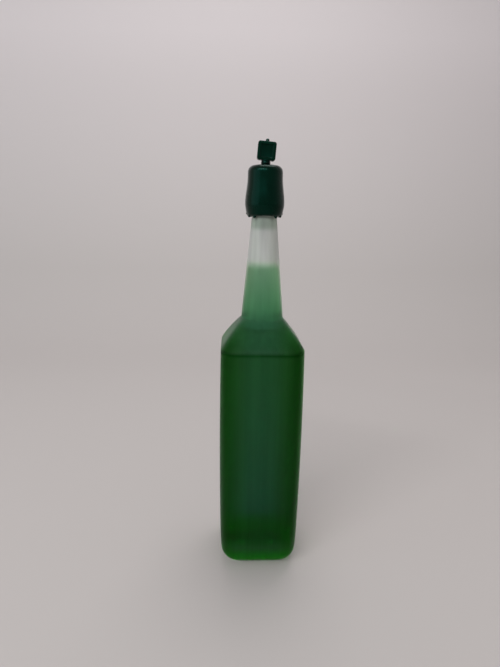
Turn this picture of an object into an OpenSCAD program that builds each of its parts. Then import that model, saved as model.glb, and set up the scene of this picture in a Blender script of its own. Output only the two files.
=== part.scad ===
// Plant feed ampoule bottle: a blown square bottle, the liquid in it, and a bell-shaped
// dispensing cap with a tab that twists off above a thin snap neck.
// Millimetres, +Z up, origin at the centre of the base, front towards -Y.

/* [Bottle body] */
// Width of the body at its shoulder
body_w = 23.5; // [20:0.5:32]
// Depth of the body at its shoulder
body_d = 23.5; // [20:0.5:32]
// Height of the upright sides, from the base to the shoulder
body_h = 68.4; // [50:0.2:90]
// Radius of the four upright edges
edge_r = 4.6; // [3:0.1:6]
// Radius between the base and the sides
base_r = 5.9; // [4:0.1:6.5]
// Radius between the sides and the shoulder
brow_r = 1.2; // [0.6:0.1:2]
// How far the middle of each side bulges out
bulge = 0.35; // [0.05:0.05:0.6]
// How far each side draws in from the shoulder to the base
foot_in = 0.3; // [0:0.05:0.8]
// Width of the four small pads that the base stands on
pad_w = 1.5; // [1.2:0.1:2]
// How far the base is pushed up between the pads
push_up = 0.2; // [0.1:0.05:0.3]
// Thickness of the blown wall
wall = 0.8; // [0.5:0.05:1.1]

/* [Shoulder and neck] */
// Height of the sloping shoulder
shoulder_h = 7.9; // [6:0.1:12]
// Diameter of the neck where it leaves the shoulder
neck_d = 12.1; // [11:0.2:14]
// Height of the tapering neck, from the shoulder to the cap
neck_h = 27.9; // [20:0.2:40]
// Radius of the hollow between the shoulder and the neck
neck_fillet = 2.5; // [1.5:0.5:5]
// Diameter of the straight mouth that the cap slides over
mouth_d = 6.9; // [6:0.1:7.6]

/* [Liquid] */
// Empty height of the neck, from the liquid's level to the cap's lower edge
air_h = 12.5; // [6:0.2:20]
// Clearance between the liquid and the wall
liquid_gap = 0.05; // [0.03:0.01:0.1]

/* [Cap] */
// Height of the bell
cap_h = 13.5; // [12:0.2:18]
// Widest diameter of the bell
cap_d = 10.8; // [10.6:0.1:13]
// Diameter of the bell below its rounded top
cap_top_d = 9.5; // [9:0.1:10.6]
// Diameter of the bell's lower edge
cap_low_d = 9.4; // [9:0.1:10.4]
// Height of the widest place above the lower edge
cap_wide_z = 3.5; // [2.5:0.1:5]
// Radius of the bell's rounded top
cap_round_r = 1.7; // [1:0.1:2]
// Thickness of the bell's roof over the mouth
roof_t = 2.2; // [2.1:0.1:3]
// Radial clearance between the cap and the mouth
slide_gap = 0.08; // [0.03:0.01:0.1]
// Length of the plug, which reaches down through the mouth into the top of the neck
plug_h = 14.6; // [10:0.2:16]
// Wall of the plug
plug_wall = 0.7; // [0.5:0.05:1]
// Diameter of the channel that the liquid drips through
drip_d = 1; // [0.6:0.1:1.4]
// Number of lugs under each side of the lower edge
lug_count = 5; // [3:1:7]
// Angle from one lug to the next
lug_step = 24; // [16:1:26]
// Diameter of a lug
lug_d = 1.1; // [0.8:0.1:1.4]
// How far a lug stands out below the lower edge
lug_drop = 0.25; // [0.1:0.05:0.4]

/* [Twist-off tab] */
// Height of the thin snap neck
snap_h = 1.2; // [0.8:0.1:2]
// Diameter of the snap neck at its ends
snap_d = 2.3; // [2:0.1:2.6]
// Diameter of the snap neck at its middle
snap_mid_d = 2.6; // [2.4:0.1:3]
// Width of the tab
tab_w = 4.9; // [4:0.1:7]
// Height of the tab
tab_h = 4.8; // [4:0.1:7]
// Thickness of the tab
tab_t = 2.2; // [1.6:0.1:3]
// Angle that the tab leans to the right
tab_lean = 4.3; // [0:0.1:6]
// Radius of the tab's corners
tab_r = 0.6; // [0.3:0.1:1]
// Width of the raised rim round the tab's panels
rim_w = 0.8; // [0.5:0.1:1.2]
// Depth of the tab's panels
panel_depth = 0.25; // [0.1:0.05:0.4]
// Diameter of the nub on the tab
nub_d = 1; // [0.6:0.1:1.4]
// Height of the nub, with its round end
nub_h = 0.9; // [0.7:0.1:1.2]

/* [Hidden] */
$fn = 48;

// Points on each rounded corner and on each curved stretch
corner_steps = 5;
curve_steps = 8;
// How far joined solids run into each other, and cuts run past a face
lap = 0.2;
// Share of a pad's width that its two side corners lie in from the base's edges
pad_side = 0.3;
// How far the shoulder's ridges stand out from the neck's foot
ridge_out = 0.6;
// How far the neck's solid reaches down into the shoulder
neck_sink = 2.6;

neck_r = neck_d / 2;
mouth_r = mouth_d / 2;
shoulder_z = body_h + shoulder_h;
cap_z = shoulder_z + neck_h;
mouth_z = cap_z + cap_h - roof_t;
level_z = cap_z - air_h;
slope = atan2(shoulder_h, min(body_w, body_d) / 2 - neck_r);

bottle_col = [0.72, 0.78, 0.74, 0.45];
liquid_col = [0.10, 0.30, 0.13];
cap_col = [0.02, 0.13, 0.09];

function unit(v) = v / norm(v);

// Corner b of an outline, between its neighbours a and c, rounded by the radius b[2]
function corner(a, b, c) =
    b[2] <= 0 ? [[b.x, b.y]] :
    let (
        at = [b.x, b.y],
        u = unit([a.x, a.y] - at),
        v = unit([c.x, c.y] - at),
        half = acos(u * v) / 2,
        middle = at + unit(u + v) * b[2] / sin(half),
        from = at + u * b[2] / tan(half) - middle,
        to = at + v * b[2] / tan(half) - middle,
        turn = 180 - 2 * half
    )
    [for (i = [0:corner_steps])
        middle + (from * sin(turn * (1 - i / corner_steps)) + to * sin(turn * i / corner_steps)) / sin(turn)];

// Outline whose points are [x, y, radius]
function rounded(p) = [
    for (i = [0:len(p) - 1]) each corner(p[(i + len(p) - 1) % len(p)], p[i], p[(i + 1) % len(p)])];

// How much lower an inset shoulder lies than the shoulder itself
function drop(inset) = inset * (1 - sin(slope)) / cos(slope);

// Half outline of the body seen from one side, inset on every face
function body_side(half_w, inset) = [
    [half_w - inset - foot_in, inset, base_r - inset],
    for (i = [1:curve_steps - 1]) let (u = i / curve_steps)
        [half_w - inset - foot_in * (1 - u) + 4 * bulge * u * (1 - u), inset + (body_h - inset) * u, 0],
    [half_w - inset, body_h - drop(inset), brow_r],
    [neck_r - inset, shoulder_z - drop(inset), 0]];

// Prism with the body's outline, long enough to pass right through it
module body_prism(half_w, inset, length) {
    side = body_side(half_w, inset);
    last = len(side) - 1;
    mirrored = [for (i = [0:last]) [-side[last - i].x, side[last - i].y, side[last - i][2]]];
    rotate([90, 0, 0]) linear_extrude(length, center = true) polygon(rounded(concat(side, mirrored)));
}

// Post with round upright edges that the two prisms are cut from
module body_post(inset) {
    half_w = body_w / 2 + bulge - inset;
    half_d = body_d / 2 + bulge - inset;
    r = edge_r - inset;
    linear_extrude(shoulder_z + lap) {
        square([2 * half_w, 2 * (half_d - r)], center = true);
        square([2 * (half_w - r), 2 * half_d], center = true);
        for (x = [-1, 1], y = [-1, 1]) translate([x * (half_w - r), y * (half_d - r)]) circle(r);
    }
}

// Cone that rounds the ridges of the shoulder
module ridge_cone(inset) {
    r = edge_r - inset;
    low_r = norm([body_w / 2 - edge_r, body_d / 2 - edge_r]) + bulge + edge_r - inset + lap;
    top_r = neck_r + ridge_out - inset;
    rotate_extrude() polygon([
        [0, -lap], [low_r, -lap], [low_r, body_h - drop(inset)],
        [top_r, shoulder_z - drop(inset)], [top_r, shoulder_z + 2 * lap], [0, shoulder_z + 2 * lap]]);
}

// Neck up to top_z, from inside the shoulder, with the hollow curve at its foot
module neck_form(inset, top_z) {
    base_z = shoulder_z - drop(inset);
    foot_r = neck_r - inset + (neck_sink - lap) / tan(slope);
    rotate_extrude() polygon(rounded([
        [0, base_z - neck_sink, 0],
        [foot_r, base_z - neck_sink, 0],
        [neck_r - inset, base_z, neck_fillet + inset],
        [mouth_r - inset, cap_z, 0],
        [mouth_r - inset, top_z, 0],
        [0, top_z, 0]]));
}

// Low cut that pushes the base up, all but a kite-shaped pad at each corner of its flat
module push_up_cut() {
    x = body_w / 2 - foot_in - base_r;
    y = body_d / 2 - foot_in - base_r;
    side = pad_w * pad_side;
    translate([0, 0, -lap]) linear_extrude(push_up + lap) difference() {
        square([body_w, body_d], center = true);
        for (i = [-1, 1], j = [-1, 1])
            polygon([[i * x, j * y], [i * (x - side), j * (y - pad_w)],
                [i * (x - pad_w), j * (y - pad_w)], [i * (x - pad_w), j * (y - side)]]);
    }
}

// The bottle's outer form, or its hollow when it is inset
module bottle_form(inset, top_z) {
    intersection() {
        body_post(inset);
        body_prism(body_w / 2, inset, 2 * body_d);
        rotate([0, 0, 90]) body_prism(body_d / 2, inset, 2 * body_w);
        ridge_cone(inset);
    }
    neck_form(inset, top_z);
}

module bottle() {
    color(bottle_col) difference() {
        bottle_form(0, mouth_z);
        bottle_form(wall, mouth_z + lap);
        push_up_cut();
    }
}

module liquid() {
    color(liquid_col) intersection() {
        bottle_form(wall + liquid_gap, mouth_z);
        translate([0, 0, level_z / 2]) cube([2 * body_w, 2 * body_d, level_z], center = true);
    }
}

// Bell: an elliptic lower edge, a soft waist and a rounded top
module bell() {
    low_r = cap_low_d / 2;
    wide_r = cap_d / 2;
    top_r = cap_top_d / 2;
    waist_h = cap_h - cap_round_r - cap_wide_z;
    rotate_extrude() polygon(rounded([
        [0, 0, 0],
        for (i = [0:curve_steps - 1]) let (a = 90 * i / curve_steps)
            [low_r + (wide_r - low_r) * sin(a), cap_wide_z * (1 - cos(a)), 0],
        for (i = [0:curve_steps - 1]) let (a = 180 * i / curve_steps)
            [top_r + (wide_r - top_r) * (1 + cos(a)) / 2, cap_wide_z + waist_h * i / curve_steps, 0],
        [top_r, cap_h, cap_round_r],
        [0, cap_h, 0]]));
}

// Round lugs for the fingers, under the left and right sides of the bell's lower edge
module lugs() {
    ring_r = (cap_low_d - lug_d) / 2;
    for (side = [0, 180], i = [0:lug_count - 1])
        rotate([0, 0, side + (i - (lug_count - 1) / 2) * lug_step])
            translate([ring_r, 0, lug_d / 2 - lug_drop]) sphere(d = lug_d, $fn = 24);
}

// Barrel-shaped neck that breaks when the tab is twisted
module snap_neck() {
    rotate_extrude() polygon([
        [0, -lap], [snap_d / 2, -lap],
        for (i = [0:curve_steps]) let (a = 180 * i / curve_steps)
            [snap_d / 2 + (snap_mid_d - snap_d) / 2 * sin(a), snap_h * i / curve_steps],
        [snap_d / 2, snap_h + 2 * lap], [0, snap_h + 2 * lap]]);
}

// Tab with a sunk panel on its front and back, and the moulding nub on top
module tab() {
    rotate([90, 0, 0]) difference() {
        linear_extrude(tab_t, center = true) polygon(rounded([
            [-tab_w / 2, 0, tab_r], [tab_w / 2, 0, tab_r],
            [tab_w / 2, tab_h, tab_r], [-tab_w / 2, tab_h, tab_r]]));
        for (side = [-1, 1])
            translate([0, tab_h / 2, side * tab_t / 2])
                cube([tab_w - 2 * rim_w, tab_h - 2 * rim_w, 2 * panel_depth], center = true);
    }
    translate([0, 0, tab_h - lap]) cylinder(d = nub_d, h = nub_h + lap - nub_d / 2, $fn = 24);
    translate([0, 0, tab_h + nub_h - nub_d / 2]) sphere(d = nub_d, $fn = 24);
}

module cap() {
    bore_r = mouth_r + slide_gap;
    plug_r = mouth_r - wall - slide_gap;
    roof_z = cap_h - roof_t;
    color(cap_col) translate([0, 0, cap_z]) {
        difference() {
            union() {
                bell();
                lugs();
                translate([0, 0, cap_h]) snap_neck();
            }
            difference() {
                translate([0, 0, -lug_d]) cylinder(r = bore_r, h = roof_z + lug_d);
                translate([0, 0, roof_z - plug_h]) cylinder(r = plug_r, h = plug_h + lap);
            }
            translate([0, 0, roof_z - plug_h - lap]) cylinder(r = plug_r - plug_wall, h = plug_h + lap);
            translate([0, 0, roof_z - lap]) cylinder(d = drip_d, h = roof_t + snap_h / 2 + lap, $fn = 24);
        }
        translate([0, 0, cap_h + snap_h]) rotate([0, tab_lean, 0]) tab();
    }
}

bottle();
liquid();
cap();
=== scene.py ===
# %% [markdown]
# A small square bottle of plant feed.
# The bottle is blown from natural polyethylene, which is clear but milky, and it holds a deep
# green liquid up to the middle of its long neck. A dark green moulded cap closes it.
# The solids of the bottle come in first as a fixed frame. This lesson models a finer skin for
# each of them, gives every piece its finish, and lights the whole softly on a pale floor.

# %% Load the frame
from math import atan2, cos, pi, radians, sin, tan

import bmesh
import bpy
from mathutils import Matrix, Vector


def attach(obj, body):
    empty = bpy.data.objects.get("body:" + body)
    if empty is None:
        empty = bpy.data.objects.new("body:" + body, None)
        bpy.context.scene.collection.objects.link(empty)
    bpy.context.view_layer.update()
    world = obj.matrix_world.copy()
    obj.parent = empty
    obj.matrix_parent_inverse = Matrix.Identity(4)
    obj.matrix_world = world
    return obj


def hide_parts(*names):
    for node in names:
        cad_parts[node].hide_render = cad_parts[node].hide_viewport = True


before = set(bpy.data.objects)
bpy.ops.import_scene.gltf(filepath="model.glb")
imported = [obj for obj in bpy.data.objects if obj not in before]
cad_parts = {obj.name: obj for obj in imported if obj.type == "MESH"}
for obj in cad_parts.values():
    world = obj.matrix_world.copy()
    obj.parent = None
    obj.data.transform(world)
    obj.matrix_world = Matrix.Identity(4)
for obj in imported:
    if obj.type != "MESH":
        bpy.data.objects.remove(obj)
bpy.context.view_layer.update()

# %% [markdown]
# The sizes that more than one piece needs are written once, in metres, and the skin, the
# liquid and the cap all use them, so that they still meet if one of them is changed.

# %% Sizes of the bottle
mm = 0.001
BODY_HALF = 11.75 * mm
BODY_H = 68.4 * mm
EDGE_R = 4.6 * mm
BASE_R = 5.9 * mm
BROW_R = 0.9 * mm
BULGE = 0.35 * mm
HIP = 0.15 * mm
FOOT_IN = 0.3 * mm
PUSH_UP = 0.2 * mm
WALL = 0.8 * mm
LIQUID_GAP = 0.05 * mm
SHOULDER_Z = 76.3 * mm
NECK_R = 6.05 * mm
NECK_FILLET = 1.1 * mm
MOUTH_R = 3.45 * mm
CAP_Z = 104.2 * mm
MOUTH_Z = 115.5 * mm
LEVEL_Z = 91.7 * mm

# %% [markdown]
# The camera comes first, because every later look at the bottle is taken through it.
# Its place was found by fitting the outline of the bottle: it stands 13 cm in front and looks
# slightly down from the height of the neck. A short lens at that distance makes the body
# narrow towards its base. The lens is given for a picture of 500 by 667 pixels, whose longer
# side is the one that the 36 mm sensor covers.

# %% Camera
LENS_PX = 470
PICTURE_PX = 667
SENSOR_MM = 36
EYE = (-0.00873, -0.13278, 0.10465)
LOOK_ASIDE = radians(-2.316)
LOOK_DOWN = radians(14.1)
ROLL = radians(1.049)
camera_data = bpy.data.cameras.new("camera")
camera_data.lens = LENS_PX * SENSOR_MM / PICTURE_PX
camera_data.clip_start = 0.005
camera = bpy.data.objects.new("camera", camera_data)
bpy.context.scene.collection.objects.link(camera)
camera.matrix_world = (
    Matrix.Translation(EYE)
    @ Matrix.Rotation(LOOK_ASIDE, 4, "Z")
    @ Matrix.Rotation(pi / 2 - LOOK_DOWN, 4, "X")
    @ Matrix.Rotation(ROLL, 4, "Z"))
bpy.context.scene.camera = camera
print("lens", round(camera_data.lens, 2), "mm")

# %% [markdown]
# Operators act on whatever is selected, and the frame leaves its solids selected. A few small
# helpers keep that tidy. One deselects everything and picks a single piece, one names a new
# piece and moves its place into its mesh, and one selects faces, edges or vertices in edit
# mode by a rule that is given as a function. The last adds a modifier and applies it.

# %% Selection helpers
def only(piece):
    if bpy.context.mode != "OBJECT":
        bpy.ops.object.mode_set(mode="OBJECT")
    bpy.ops.object.select_all(action="DESELECT")
    bpy.context.view_layer.objects.active = piece
    piece.select_set(True)


def new_piece(name):
    piece = bpy.context.object
    piece.name = name
    piece.data.name = name
    only(piece)
    bpy.ops.object.transform_apply(location=True, rotation=True, scale=True)
    return piece


def pick(kind, rule):
    """Selects, in edit mode, the elements of the active mesh that meet the rule."""
    mesh = bpy.context.object.data
    bpy.ops.mesh.select_mode(type=kind)
    bpy.ops.mesh.select_all(action="DESELECT")
    shape = bmesh.from_edit_mesh(mesh)
    elements = {"VERT": shape.verts, "EDGE": shape.edges, "FACE": shape.faces}[kind]
    for element in [e for e in elements if rule(e)]:
        element.select = True
    shape.select_flush_mode()
    bmesh.update_edit_mesh(mesh)


def picked(piece):
    """The vertices that are selected in edit mode."""
    return [v for v in bmesh.from_edit_mesh(piece.data).verts if v.select]


def face_outwards():
    bpy.ops.mesh.select_all(action="SELECT")
    bpy.ops.mesh.normals_make_consistent(inside=False)
    bpy.ops.object.mode_set(mode="OBJECT")


def apply_modifier(piece, kind, **settings):
    only(piece)
    modifier = piece.modifiers.new(kind.lower(), kind)
    for key, value in settings.items():
        setattr(modifier, key, value)
    bpy.ops.object.modifier_apply(modifier=modifier.name)

# %% [markdown]
# A blown bottle is one skin whose section changes on the way up: a small square at the base,
# a square with round edges along the body, a square that closes in over the shoulder and
# turns round, and a thinning round neck. So the skin is drawn as a stack of rings. Each ring
# is extruded from the one below, scaled to its own width, and moved part of the way towards
# a circle where the form turns round.
# Only the half width, the height and the roundness of each ring have to be worked out. The
# base and the brow under the shoulder are arcs, the sides are a very flat arch, the shoulder
# swells a little over its straight line, and the foot of the neck is a hollow arc.

# %% Rings of the skin
BASE_FROM = radians(75.03)
SIDE_MM = (9, 15, 23, 31, 39, 47, 54, 60, 64.5)
SHOULDER_STEPS = ((0.18, 0), (0.36, 0), (0.54, 0.02), (0.72, 0.08), (0.88, 0.2), (1, 0.38))
FILLET_ROUND = (0.6, 0.8, 0.93, 1)


def arc(middle, radius, first, last, steps):
    """Points from the angle first to the angle last, both ends included."""
    angles = [first + (last - first) * i / steps for i in range(steps + 1)]
    return [(middle[0] + radius * cos(a), middle[1] + radius * sin(a)) for a in angles]


def side_half(z):
    u = z / BODY_H
    return BODY_HALF - FOOT_IN * (1 - u) + 4 * BULGE * u * (1 - u)


slope = atan2(SHOULDER_Z - BODY_H, BODY_HALF - NECK_R)
taper = atan2(CAP_Z - SHOULDER_Z, NECK_R - MOUTH_R)
brow_reach = BROW_R * tan((pi / 2 - slope) / 2)
fillet_reach = NECK_FILLET * tan((taper - slope) / 2)

base_middle = (BODY_HALF - FOOT_IN - BASE_R, BASE_R)
rings = [(w, z, 0) for w, z in arc(base_middle, BASE_R, -BASE_FROM, 0, 6)]
rings += [(side_half(z * mm), z * mm, 0) for z in SIDE_MM]
brow_middle = (BODY_HALF - BROW_R, BODY_H - brow_reach)
rings += [(w, z, 0) for w, z in arc(brow_middle, BROW_R, 0, pi / 2 - slope, 4)]
brow = rings[-1]
top = (NECK_R + fillet_reach * cos(slope), SHOULDER_Z - fillet_reach * sin(slope))
for u, roundness in SHOULDER_STEPS:
    swell = HIP * sin(pi * u ** 0.6)
    rings.append((brow[0] + (top[0] - brow[0]) * u + swell * sin(slope),
                  brow[1] + (top[1] - brow[1]) * u + swell * cos(slope), roundness))
hollow = (top[0] + NECK_FILLET * sin(slope), top[1] + NECK_FILLET * cos(slope))
fillet = arc(hollow, NECK_FILLET, -pi / 2 - slope, -pi / 2 - taper, 4)[1:]
rings += [(w, z, roundness) for (w, z), roundness in zip(fillet, FILLET_ROUND)]
foot = rings[-1]
rings += [(foot[0] + (MOUTH_R - foot[0]) * u, foot[1] + (CAP_Z - foot[1]) * u, 1)
          for u in (0.2, 0.4, 0.6, 0.8, 1)]
rings += [(MOUTH_R, z, 1) for z in (CAP_Z + 0.6 * mm, CAP_Z + 5 * mm, MOUTH_Z - 0.8 * mm, MOUTH_Z)]
print(len(rings), "rings, widest", round(max(ring[0] for ring in rings) / mm, 2), "mm")

# %% [markdown]
# Stacking rings is the same work for the bottle and for the cap, so it is a helper. It starts
# from the open ring of edges that is selected, and goes up, down, out or in as the list says.

# %% Ring helper
def widen(piece, half, z):
    """Scales the selected ring to a half width, measured along X."""
    now = max(v.co.x for v in picked(piece))
    bpy.ops.transform.resize(value=(half / now, half / now, 1), center_override=(0, 0, z))


def stack(piece, rings, below):
    """Extrudes the selected ring through rings of (half width, height, roundness)."""
    for half, z, roundness in rings:
        bpy.ops.mesh.extrude_edges_move(TRANSFORM_OT_translate={"value": (0, 0, z - below[1])})
        if roundness > below[2]:
            further = 1 - (1 - roundness) / (1 - below[2])
            bpy.ops.transform.tosphere(value=further, center_override=(0, 0, z))
        widen(piece, half, z)
        below = (half, z, roundness)

# %% [markdown]
# The first ring starts as a plane. Its four corners are bevelled into the round upright
# edges, and its sides are divided, so that they have points to bend where they become the
# round neck. The plane itself stays as the base.

# %% Skin of the bottle
bpy.ops.object.select_all(action="DESELECT")
bpy.ops.mesh.primitive_plane_add(size=2 * BODY_HALF, location=(0, 0, rings[0][1]))
shell = new_piece("bottle_shell")
bpy.ops.object.mode_set(mode="EDIT")
bpy.ops.mesh.select_mode(type="VERT")
bpy.ops.mesh.select_all(action="SELECT")
bpy.ops.mesh.bevel(offset=EDGE_R, segments=6, affect="VERTICES")
pick("EDGE", lambda e: e.calc_length() > 2 * EDGE_R)
bpy.ops.mesh.subdivide(number_cuts=5)
bpy.ops.mesh.select_mode(type="EDGE")
bpy.ops.mesh.select_all(action="SELECT")
widen(shell, rings[0][0], rings[0][1])
pick("EDGE", lambda e: e.is_boundary)
stack(shell, rings[1:], rings[0])
face_outwards()
print("skin", len(shell.data.vertices), "points")

# %% [markdown]
# The liquid touches the wall from inside, so it is the same skin made thinner. Each point
# moves inwards along its normal by a hair less than the wall, which leaves no film of air
# between liquid and wall. The copy is then cut off level in the neck. Two insets sink its
# top a little, which leaves a rim that creeps up the wall, as water does.

# %% Liquid
RIM_INSETS = ((0.3 * mm, 0.15 * mm), (0.5 * mm, 0.1 * mm))
only(shell)
bpy.ops.object.duplicate()
liquid = bpy.context.object
liquid.name = liquid.data.name = "green_liquid"
only(liquid)
bpy.ops.object.mode_set(mode="EDIT")
bpy.ops.mesh.select_all(action="SELECT")
bpy.ops.transform.shrink_fatten(value=-(WALL - LIQUID_GAP))
bpy.ops.mesh.select_all(action="SELECT")
bpy.ops.mesh.bisect(plane_co=(0, 0, LEVEL_Z), plane_no=(0, 0, 1), clear_outer=True, use_fill=True)
pick("FACE", lambda f: f.normal.z > 0.9 and f.calc_center_median().z > LEVEL_Z - 0.1 * mm)
for inwards, down in RIM_INSETS:
    bpy.ops.mesh.inset(thickness=inwards, depth=-down)
bpy.ops.object.mode_set(mode="OBJECT")
apply_modifier(liquid, "SUBSURF", levels=1, render_levels=1)
print("liquid's top", round(max(v.co.z for v in liquid.data.vertices) / mm, 2), "mm")

# %% [markdown]
# A flat base would rock on any dust, so the base of such a bottle is pushed up a little and
# stands on its corners. Two insets leave a band of narrow faces round the base, and the ones
# at the four corners, which lie between two distances from the middle, go down to the floor.
# Solidify then gives the skin its wall, inwards, and closes the rim of the mouth. It comes
# before the subdivision, so that the rim and the feet turn soft as blown plastic does.

# %% Feet and wall
BASE_INSETS = (0.5 * mm, 1.1 * mm)
FEET_FROM = 3.9 * mm
FEET_TO = 8.4 * mm


def is_foot(face):
    middle = face.calc_center_median()
    return (face.normal.z < -0.99 and len(face.verts) == 4
            and min(abs(middle.x), abs(middle.y)) > FEET_FROM
            and max(v.co.xy.length for v in face.verts) < FEET_TO)


only(shell)
bpy.ops.object.mode_set(mode="EDIT")
pick("FACE", lambda f: f.normal.z < -0.99 and len(f.verts) > 8)
for inwards in BASE_INSETS:
    bpy.ops.mesh.inset(thickness=inwards)
pick("FACE", is_foot)
print(sum(f.select for f in bmesh.from_edit_mesh(shell.data).faces), "faces for the feet")
bpy.ops.mesh.extrude_region_move(TRANSFORM_OT_translate={"value": (0, 0, -PUSH_UP)})
bpy.ops.object.mode_set(mode="OBJECT")
apply_modifier(shell, "SOLIDIFY", thickness=WALL, offset=-1, use_even_offset=True, use_rim=True)
apply_modifier(shell, "SUBSURF", levels=1, render_levels=1)
bpy.ops.object.shade_smooth()
only(liquid)
bpy.ops.object.shade_smooth_by_angle(angle=radians(50))
print("shell", len(shell.data.polygons), "faces, liquid", len(liquid.data.polygons))

# %% [markdown]
# The cap is one moulding: a bell that widens softly towards its foot, round lugs along its
# lower edge for the fingers, a snap neck as thin as a match, and a square tab that is twisted
# off to open it. Inside, a plug seals the mouth.
# The bell is turned, so it is a stack of rings again. It begins inside, at the blind end of
# the drip channel, runs down the plug, up to the roof and down the bore, turns round the
# lower edge, and goes up the outside to the snap neck. The stretches of that outline are
# drawn as radius and height in millimetres, and the height is counted from the lower edge.

# %% Rings of the cap
CAP_H = 13.5 * mm
CAP_WIDE_R = 5.4 * mm
CAP_WIDE_Z = 3.5 * mm
CAP_TOP_R = 4.75 * mm
CAP_ROUND_R = 1.7 * mm
SNAP_H = 1.2 * mm

drip_channel = [(0.5, 14.0), (0.5, 11.5), (0.65, 11.3)]
plug_inside = [(1.7, 11.3), (1.87, 11.1), (1.87, -3.1), (2.0, -3.3)]
plug_outside = [(2.42, -3.3), (2.57, -3.1), (2.57, 11.1), (2.75, 11.3)]
bore = [(3.35, 11.3), (3.53, 11.1), (3.53, 0.45)]
lower_edge = [(3.62, 0.16), (3.85, 0.02), (4.15, 0.0), (4.5, 0.12), (4.78, 0.42), (4.93, 0.85)]
flare = [(5.07, 1.5), (5.24, 2.3), (5.35, 3.0)]
snap_neck = [(1.5, 13.5), (1.22, 13.56), (1.15, 13.75), (1.27, 13.95), (1.3, 14.1), (1.27, 14.25),
             (1.17, 14.45), (1.2, 14.7), (1.2, 15.1)]

waist_h = CAP_H - CAP_ROUND_R - CAP_WIDE_Z
waist = [(CAP_TOP_R + (CAP_WIDE_R - CAP_TOP_R) * (1 + cos(pi * i / 7)) / 2, CAP_WIDE_Z + waist_h * i / 8)
         for i in range(8)]
crown = arc((CAP_TOP_R - CAP_ROUND_R, CAP_H - CAP_ROUND_R), CAP_ROUND_R, 0, pi / 2, 6)
drawn = drip_channel + plug_inside + plug_outside + bore + lower_edge + flare
turned = [(r * mm, z * mm) for r, z in drawn] + waist + crown + [(r * mm, z * mm) for r, z in snap_neck]
cap_rings = [(r, CAP_Z + z, 1) for r, z in turned]
print(len(cap_rings), "rings in the cap")

# %% [markdown]
# The lower edge isn't quite level: it rises towards the front and the back, between the two
# groups of lugs. Its points are lifted most at the very edge, and not at all a little above.

# %% Bell and snap neck
ARCH = 0.4 * mm
ARCH_R = 3.43 * mm
bpy.ops.object.select_all(action="DESELECT")
bpy.ops.mesh.primitive_circle_add(vertices=48, radius=cap_rings[0][0], fill_type="NGON",
                                  location=(0, 0, cap_rings[0][1]))
cap = new_piece("cap_skin")
bpy.ops.object.mode_set(mode="EDIT")
pick("EDGE", lambda e: e.is_boundary)
stack(cap, cap_rings[1:], cap_rings[0])
bpy.ops.mesh.edge_face_add()
face_outwards()
bpy.ops.object.mode_set(mode="EDIT")
pick("VERT", lambda v: v.co.xy.length > ARCH_R and v.co.z < CAP_Z + 0.9 * mm)
for v in picked(cap):
    v.co.z += ARCH * (v.co.y / v.co.xy.length) ** 2 * (1 - (v.co.z - CAP_Z) / mm)
bpy.ops.object.mode_set(mode="OBJECT")
apply_modifier(cap, "SUBSURF", levels=1, render_levels=1)
print("cap skin", len(cap.data.polygons), "faces")

# %% [markdown]
# Five lugs lie on the round of the lower edge at each side, where two fingers hold the cap.
# One is modelled as a drop that leans outwards, and it is copied to each place. The middle
# one of each side sits a little higher and further out than its neighbours.

# %% Lugs
LUG_R = 0.45 * mm
LUG_STEP = 24
LUG_LEAN = radians(-35)
LUG_PLACES = ((4.62 * mm, 1.15 * mm), (4.45 * mm, 0.45 * mm), (4.2 * mm, 0.22 * mm))
bpy.ops.object.select_all(action="DESELECT")
bpy.ops.mesh.primitive_uv_sphere_add(segments=16, ring_count=10, radius=LUG_R, location=(0, 0, 0),
                                     rotation=(0, LUG_LEAN, 0), scale=(0.9, 0.95, 1.2))
pattern = new_piece("lug_pattern")
lugs = []
for side in (0, 180):
    for i in range(-2, 3):
        turn = radians(side + i * LUG_STEP)
        out, up = LUG_PLACES[abs(i)]
        only(pattern)
        bpy.ops.object.duplicate()
        bpy.context.object.location = (out * cos(turn), out * sin(turn), CAP_Z + up)
        bpy.context.object.rotation_euler = (0, 0, turn)
        lugs.append(new_piece("lug_%02d" % len(lugs)))
bpy.data.objects.remove(pattern)
print(len(lugs), "lugs")

# %% [markdown]
# The tab is a flat square block with a sunk panel on its front and back. It leans a little
# to the right, because the thin neck under it is soft. It is added with that lean, shaped
# while it is still upright in its own space, and its place goes into the mesh at the end.
# The panels are inset before the corners are rounded, so that no crease crosses the rim.

# %% Tab
TAB_W = 4.9 * mm
TAB_H = 4.8 * mm
TAB_T = 2.2 * mm
TAB_LEAN = radians(4.3)
TAB_R = 0.6 * mm
RIM_W = 0.8 * mm
PANEL_DEEP = 0.25 * mm
PANEL_SLOPE = 0.12 * mm
tab_foot = Vector((0, 0, CAP_Z + CAP_H + SNAP_H))
lean = Matrix.Rotation(TAB_LEAN, 3, "Y")
tab_middle = tab_foot + lean @ Vector((0, 0, TAB_H / 2))
bpy.ops.object.select_all(action="DESELECT")
bpy.ops.mesh.primitive_cube_add(size=1, location=tab_middle, rotation=(0, TAB_LEAN, 0),
                                scale=(TAB_W, TAB_T, TAB_H))
tab = bpy.context.object
only(tab)
bpy.ops.object.transform_apply(location=False, rotation=False, scale=True)
bpy.ops.object.mode_set(mode="EDIT")
pick("FACE", lambda f: abs(f.normal.y) > 0.9)
bpy.ops.mesh.inset(thickness=RIM_W - PANEL_SLOPE / 2)
bpy.ops.mesh.inset(thickness=PANEL_SLOPE, depth=-PANEL_DEEP)
pick("EDGE", lambda e: abs((e.verts[0].co - e.verts[1].co).y) > TAB_T / 2)
bpy.ops.mesh.bevel(offset=TAB_R, segments=4, affect="EDGES")
bpy.ops.object.mode_set(mode="OBJECT")
apply_modifier(tab, "BEVEL", width=0.12 * mm, segments=3, limit_method="ANGLE", angle_limit=radians(35))
tab = new_piece("tab")
print("tab", len(tab.data.polygons), "faces")

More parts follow.
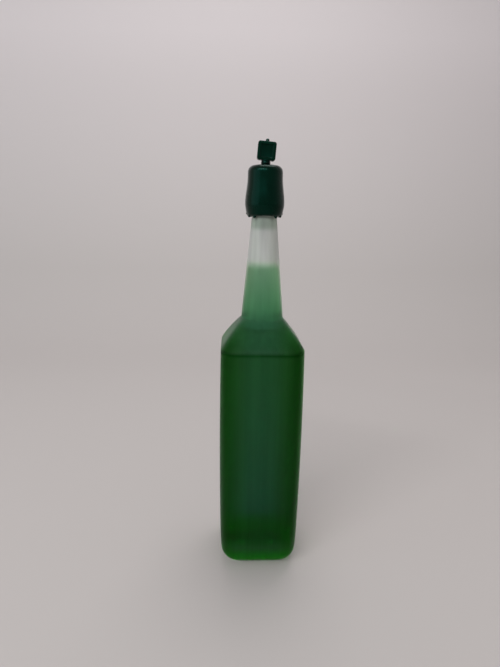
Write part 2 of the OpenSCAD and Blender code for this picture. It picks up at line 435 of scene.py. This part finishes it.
# %% [markdown]
# The nub on top is what is left of the gate, where the plastic ran into the mould. It is a
# short stack of small rings, each a little higher and scaled from the one before.

# %% Nub on the tab
NUB_R = 0.62 * mm
NUB_STEPS = ((0.2, 0.85), (0.25, 0.93), (0.3, 0.85), (0.12, 0.6), (0.05, 0.4))
nub_foot = tab_foot + lean @ Vector((0, 0, TAB_H - 0.15 * mm))
bpy.ops.object.select_all(action="DESELECT")
bpy.ops.mesh.primitive_circle_add(vertices=20, radius=NUB_R, fill_type="NGON", location=nub_foot,
                                  rotation=(0, TAB_LEAN, 0))
nub = bpy.context.object
only(nub)
bpy.ops.object.mode_set(mode="EDIT")
pick("EDGE", lambda e: e.is_boundary)
for rise, scale in NUB_STEPS:
    bpy.ops.mesh.extrude_edges_move()
    for v in picked(nub):
        v.co = Vector((v.co.x * scale, v.co.y * scale, v.co.z + rise * mm))
bpy.ops.mesh.edge_face_add()
face_outwards()
nub = new_piece("nub")
print("nub", len(nub.data.polygons), "faces")

# %% [markdown]
# All of it is one moulding, so the pieces are joined into one.

# %% Join the cap
only(cap)
for piece in lugs + [tab, nub]:
    piece.select_set(True)
bpy.ops.object.join()
cap = bpy.context.object
only(cap)
bpy.ops.object.shade_smooth_by_angle(angle=radians(35))
print("cap", len(cap.data.polygons), "faces")

# %% [markdown]
# Each skin now stands for its solid and moves with the body that the solid belongs to.

# %% Tie the skins to the frame
for piece, body, node, slot in ((shell, "bottle", "bottle", "frosted_plastic"),
                                (liquid, "bottle", "liquid", "green_liquid"),
                                (cap, "cap", "cap", "dark_green_plastic")):
    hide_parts(node)
    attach(piece, body)

# %% [markdown]
# Every finish is a tree of nodes on the Principled shader, and all of them need the same few
# steps: the place of a point on the piece, a little arithmetic, noise, a ramp of colours, and
# two colours multiplied. Object coordinates are used throughout, because they stay on the
# piece when it moves. A value that is the same all over goes straight onto its socket.

# %% Material helpers
def material(name):
    made = bpy.data.materials.new(name)
    made.use_nodes = True
    return made, made.node_tree, made.node_tree.nodes["Principled BSDF"]


def give(piece, made):
    piece.data.materials.clear()
    piece.data.materials.append(made)


def settle(shader, values):
    """Sets plain values, each on its own socket."""
    for name, value in values.items():
        shader.inputs[name].default_value = value


def place_on_piece(tree):
    return tree.nodes.new("ShaderNodeTexCoord").outputs["Object"]


def axes(tree, vector):
    split = tree.nodes.new("ShaderNodeSeparateXYZ")
    tree.links.new(vector, split.inputs["Vector"])
    return split.outputs


def sum_up(tree, operation, first, second=None):
    """One Math node. The second value is a socket, or there is none."""
    made = tree.nodes.new("ShaderNodeMath")
    made.operation = operation
    tree.links.new(first, made.inputs[0])
    if second:
        tree.links.new(second, made.inputs[1])
    return made.outputs["Value"]


def noise(tree, scale, detail, stretch=(1, 1, 1)):
    """Noise on the piece, stretched along an axis where stretch is under 1."""
    mapping = tree.nodes.new("ShaderNodeMapping")
    mapping.inputs["Scale"].default_value = stretch
    tree.links.new(place_on_piece(tree), mapping.inputs["Vector"])
    texture = tree.nodes.new("ShaderNodeTexNoise")
    texture.inputs["Scale"].default_value = scale
    texture.inputs["Detail"].default_value = detail
    tree.links.new(mapping.outputs["Vector"], texture.inputs["Vector"])
    return texture.outputs["Fac"]


def ramp(tree, value, low, high, stops):
    """Colour ramp whose stops are (value, colour), over the range low to high."""
    scaled = tree.nodes.new("ShaderNodeMapRange")
    scaled.inputs["From Min"].default_value = low
    scaled.inputs["From Max"].default_value = high
    tree.links.new(value, scaled.inputs["Value"])
    made = tree.nodes.new("ShaderNodeValToRGB")
    elements = made.color_ramp.elements
    elements.remove(elements[1])
    for i, (at, colour) in enumerate(stops):
        position = (at - low) / (high - low)
        stop = elements[0] if i == 0 else elements.new(position)
        stop.position = position
        stop.color = (*colour, 1)
    tree.links.new(scaled.outputs["Result"], made.inputs["Fac"])
    return made.outputs["Color"]


def grey(v):
    return (v, v, v)


def multiply(tree, first, second):
    made = tree.nodes.new("ShaderNodeMix")
    made.data_type = "RGBA"
    made.blend_type = "MULTIPLY"
    made.inputs["Factor"].default_value = 1
    tree.links.new(first, made.inputs[6])
    tree.links.new(second, made.inputs[7])
    return made.outputs[2]


def grain(tree, shader, scale, detail, strength, distance):
    """A fine bump from noise."""
    bump = tree.nodes.new("ShaderNodeBump")
    bump.inputs["Strength"].default_value = strength
    bump.inputs["Distance"].default_value = distance
    tree.links.new(noise(tree, scale, detail), bump.inputs["Height"])
    tree.links.new(bump.outputs["Normal"], shader.inputs["Normal"])

# %% [markdown]
# Two measures tell where a point of the bottle lies. One is its height in millimetres. The
# other is the smaller of its distances from the two middle planes: it is zero in the middle
# of each side and largest in the round upright edges. Towards the edges the colour is painted
# a deeper green, painted shade for the longer way that light takes through the liquid there,
# and in the middle of each side it is painted a little lighter and bluer, a painted sheen.

# %% Colour by height, with painted shade and sheen across the sides
def height(tree):
    scaled = tree.nodes.new("ShaderNodeMath")
    scaled.operation = "MULTIPLY"
    scaled.inputs[1].default_value = 1 / mm
    tree.links.new(axes(tree, place_on_piece(tree))["Z"], scaled.inputs[0])
    return scaled.outputs["Value"]


def edges(tree):
    spot = axes(tree, place_on_piece(tree))
    least = sum_up(tree, "MINIMUM", *(sum_up(tree, "ABSOLUTE", spot[axis]) for axis in "XY"))
    # Painted sheen, lighter and bluer, in the middle of each side, and painted shade, a deeper green, towards
    # the round upright edges.
    return ramp(tree, least, 0, 12 * mm, [
        (0, (1.10, 1.0, 1.14)), (3.5 * mm, (1.08, 1.0, 1.10)), (6.5 * mm, (0.94, 0.93, 0.82)),
        (8.5 * mm, (0.62, 0.84, 0.50)), (10 * mm, (0.34, 0.66, 0.24))])

# %% [markdown]
# Frosted polyethylene lets light through but scatters it in its rough skin, so what lies
# behind it turns into a soft blur. The empty part of the neck is milky, so less light passes
# there. Where liquid wets the wall, the plastic itself is tinted green: a viewer that can't
# draw one clear thing inside another still shows a full bottle. The tint ends at the level.
# Light and shade are painted into it: a brighter, more saturated green at the base is painted
# light from the pale floor below, the brow has a thin painted shade line with a painted
# highlight line above it, and the top of the neck, which the plug fills from inside, is
# painted darker, a painted shade under the cap.
# Faint upright streaks come from the way the plastic was drawn down in the mould. A low
# index of refraction keeps the bottle from turning into a lens with dark edges.

# %% Frosted plastic
LEVEL_MM = 90.4
EMPTY_MM = 93
frosted, tree, skin = material("frosted_plastic")
z = height(tree)
# Painted light and shade in the tint: the saturated green from 0.6 to 3.5 mm is painted floor light at the
# base, the stop at 67.9 mm is a painted shade line under a painted highlight line at 68.7 mm, and the stops
# from 101.8 mm up are painted shade under the cap.
tint = ramp(tree, z, 0, 125, [
    (0, (0.42, 0.84, 0.44)), (0.3, (0.42, 0.84, 0.44)), (0.6, (0.09, 0.89, 0.05)),
    (3.5, (0.13, 0.86, 0.09)), (7.5, (0.38, 0.77, 0.50)), (28, (0.36, 0.72, 0.43)),
    (50, (0.33, 0.71, 0.38)), (67.2, (0.30, 0.69, 0.33)), (67.9, (0.05, 0.33, 0.07)),
    (68.7, (0.40, 0.75, 0.48)), (70, (0.32, 0.70, 0.41)), (75.6, (0.36, 0.72, 0.45)),
    (76.8, (0.40, 0.78, 0.46)), (LEVEL_MM, (0.64, 0.90, 0.62)), (EMPTY_MM, (0.70, 0.78, 0.67)),
    (100.5, (0.68, 0.76, 0.65)), (101.8, (0.50, 0.62, 0.48)), (125, (0.50, 0.62, 0.48))])
streaks = ramp(tree, noise(tree, 700, 2, (1, 1, 0.03)), 0, 1, [(0.3, grey(0.88)), (0.7, grey(1.08))])
# The colour is multiplied by the painted sheen and painted edge shade from edges().
colour = multiply(tree, multiply(tree, tint, streaks), edges(tree))
tree.links.new(colour, skin.inputs["Base Color"])
clear = ramp(tree, z, 0, 125, [(0, grey(1)), (LEVEL_MM, grey(0.98)), (EMPTY_MM, grey(0.6)), (125, grey(0.6))])
tree.links.new(clear, skin.inputs["Transmission Weight"])
settle(skin, {"IOR": 1.10, "Roughness": 0.3, "Coat Weight": 0.25, "Coat Roughness": 0.08, "Coat IOR": 1.12})
grain(tree, skin, 900, 2, 0.08, 0.1 * mm)
give(shell, frosted)

# %% [markdown]
# The liquid is clear and coloured in its depth, so its colour is an absorption in the volume:
# the thick body turns deep green and the thin neck stays light. Near the base a brighter green
# is painted on it, where a little less light passes through, as painted light for the light of
# the pale floor that comes in from below. The face of the base itself is nearly clear, because
# light on its way to the body's lower half passes through it.

# %% Green liquid
green, tree, body = material("green_liquid")
z = height(tree)
# Painted light: a brighter green near the base, for the pale floor's light coming in from below; the lower
# transmission below lets this painted green show.
painted_floor_light = ramp(tree, z, 0, 20, [
    (0, (0.5, 0.9, 0.5)), (0.95, (0.5, 0.9, 0.5)), (1.3, (0.06, 0.85, 0.04)),
    (3.5, (0.12, 0.9, 0.08)), (7.5, (1, 1, 1))])
tree.links.new(painted_floor_light, body.inputs["Base Color"])
clear = ramp(tree, z, 0, 20, [(0, grey(0.88)), (4, grey(0.92)), (9, grey(1))])
tree.links.new(clear, body.inputs["Transmission Weight"])
settle(body, {"IOR": 1.15, "Roughness": 0})
dye = tree.nodes.new("ShaderNodeVolumeAbsorption")
dye.inputs["Color"].default_value = (0.17, 0.47, 0.42, 1)
dye.inputs["Density"].default_value = 125
tree.links.new(dye.outputs["Volume"], tree.nodes["Material Output"].inputs["Volume"])
give(liquid, green)

# %% [markdown]
# The cap is dark green polyethylene, smooth but not polished. Three things vary on it. The
# colour is slightly cloudy. The short stretch of the snap neck is painted nearly black, a
# painted shade in the narrow gap between the tab and the bell. The tab's raised rim is painted
# lighter, painted light where it is thin enough for some light to pass, and its sunk panel is
# painted a shade darker.
# The rim is found from the larger of the two distances from the tab's middle, measured in
# the tab's own leaning directions.
# A green tint on the gloss keeps the reflections of the room in the colour of the plastic, and
# a thin coat adds the clearer highlights.

# %% Dark green plastic
# Painted shade: the band of heights of the snap neck, between the tab and the bell, is made nearly black.
SNAP_PAINTED_SHADE = ((110, 1), (117.75, 1), (117.95, 0.15), (118.8, 0.15), (119.1, 1))


# Painted light on the tab's raised rim, and a slightly darker painted shade in its sunk panel.
def painted_rim_light(tree):
    mapping = tree.nodes.new("ShaderNodeMapping")
    mapping.vector_type = "TEXTURE"
    mapping.inputs["Location"].default_value = tab_middle
    mapping.inputs["Rotation"].default_value = (0, TAB_LEAN, 0)
    tree.links.new(place_on_piece(tree), mapping.inputs["Vector"])
    spot = axes(tree, mapping.outputs["Vector"])
    most = sum_up(tree, "MAXIMUM", *(sum_up(tree, "ABSOLUTE", spot[axis]) for axis in "XZ"))
    return ramp(tree, most, 0, 4 * mm, [
        (1.6 * mm, grey(0.95)), (1.75 * mm, grey(1.3)), (2.2 * mm, (3.0, 1.6, 1.9)),
        (2.55 * mm, (3.0, 1.6, 1.9)), (2.8 * mm, grey(1))])


dark, tree, skin = material("dark_green_plastic")
cloud = noise(tree, 260, 3)
colour = ramp(tree, cloud, 0, 1, [(0.3, (0.0003, 0.0050, 0.0018)), (0.7, (0.0005, 0.0072, 0.0032))])
snap_painted_shade = ramp(tree, height(tree), 110, 125, [(at, grey(v)) for at, v in SNAP_PAINTED_SHADE])
colour = multiply(tree, multiply(tree, colour, snap_painted_shade), painted_rim_light(tree))
tree.links.new(colour, skin.inputs["Base Color"])
rough = ramp(tree, cloud, 0, 1, [(0.3, grey(0.22)), (0.7, grey(0.32))])
tree.links.new(rough, skin.inputs["Roughness"])
settle(skin, {
    "IOR": 1.5, "Specular IOR Level": 0.3, "Specular Tint": (0.02, 0.45, 0.34, 1),
    "Coat Weight": 0.5, "Coat Roughness": 0.1, "Coat IOR": 1.15,
    "Sheen Weight": 0.08, "Sheen Roughness": 0.3, "Sheen Tint": (0.6, 0.9, 0.8, 1)})
grain(tree, skin, 1400, 3, 0.12, 0.05 * mm)
give(cap, dark)

# %% [markdown]
# The floor is a plain pale sweep: it runs back from the bottle and curves up behind it
# without an edge, so that no line crosses the picture. It is painted paler with height,
# painted light as from a high window on a wall.

# %% Sweep
BEND_R = 0.25
BEND_STEPS = 12
bpy.ops.object.select_all(action="DESELECT")
bpy.ops.mesh.primitive_plane_add(size=2, location=(0, -0.8, 0))
sweep = new_piece("sweep")
bpy.ops.object.mode_set(mode="EDIT")
pick("EDGE", lambda e: all(v.co.y > 0 for v in e.verts))
for i in range(BEND_STEPS):
    a, b = (pi / 2 * step / BEND_STEPS for step in (i, i + 1))
    bpy.ops.mesh.extrude_edges_move(TRANSFORM_OT_translate={
        "value": (0, BEND_R * (sin(b) - sin(a)), BEND_R * (cos(a) - cos(b)))})
bpy.ops.mesh.extrude_edges_move(TRANSFORM_OT_translate={"value": (0, 0, 0.9)})
bpy.ops.object.mode_set(mode="OBJECT")
bpy.ops.object.shade_smooth()
pale, tree, paint = material("pale_sweep")
# Painted light: the sweep's colour is made paler with height.
shade = ramp(tree, axes(tree, place_on_piece(tree))["Z"], 0, 0.3, [
    (0, (0.53, 0.49, 0.475)), (0.05, (0.53, 0.49, 0.475)), (0.3, (0.74, 0.68, 0.685))])
tree.links.new(shade, paint.inputs["Base Color"])
settle(paint, {"Roughness": 0.8})
give(sweep, pale)

# %% [markdown]
# The room lights the bottle evenly and weakly from all round. What the camera, the gloss and
# the clear plastic see of it, past the sweep, is a plain wall of the sweep's own tone.

# %% Room
room = bpy.data.worlds.new("room")
bpy.context.scene.world = room
room.use_nodes = True
tree = room.node_tree
even = tree.nodes["Background"]
even.inputs["Color"].default_value = (0.97, 0.98, 1.0, 1)
even.inputs["Strength"].default_value = 0.36
wall = tree.nodes.new("ShaderNodeBackground")
wall.inputs["Color"].default_value = (0.46, 0.44, 0.43, 1)
ray = tree.nodes.new("ShaderNodeLightPath").outputs
seen = sum_up(tree, "MAXIMUM", ray["Is Camera Ray"], ray["Is Glossy Ray"])
seen = sum_up(tree, "MAXIMUM", seen, ray["Is Transmission Ray"])
mix = tree.nodes.new("ShaderNodeMixShader")
tree.links.new(seen, mix.inputs[0])
tree.links.new(even.outputs["Background"], mix.inputs[1])
tree.links.new(wall.outputs["Background"], mix.inputs[2])
tree.links.new(mix.outputs["Shader"], tree.nodes["World Output"].inputs["Surface"])

# %% [markdown]
# Three soft lamps shape it: a long thin one high in front, which draws the bright line on the
# cap's crown, a large cool one at the left, and a small one above and behind, which lights
# the floor that is seen through the bottle. The long one isn't seen through the clear
# plastic itself, where it would show as a hard bright spot.

# %% Lamps
def lamp(name, place, aim, size, watts, colour=(1, 1, 1)):
    data = bpy.data.lights.new(name, "AREA")
    data.shape = "RECTANGLE"
    data.size = size[0]
    data.size_y = size[1]
    data.energy = watts
    data.color = colour
    made = bpy.data.objects.new(name, data)
    bpy.context.scene.collection.objects.link(made)
    made.location = place
    made.rotation_euler = (Vector(aim) - Vector(place)).to_track_quat("-Z", "Y").to_euler()
    return made


ceiling = lamp("ceiling", (-0.3, -0.62, 0.56), (0, 0, 0.06), (0.8, 0.03), 4.0)
ceiling.visible_transmission = False
lamp("window", (-0.6, -0.3, 0.15), (0, 0, 0.1), (0.6, 0.5), 0.8, (0.7, 0.92, 1.0))
lamp("back", (0.05, 0.15, 0.55), (0, 0, 0.03), (0.3, 0.3), 0.9)
bpy.context.scene.view_settings.view_transform = "Standard"
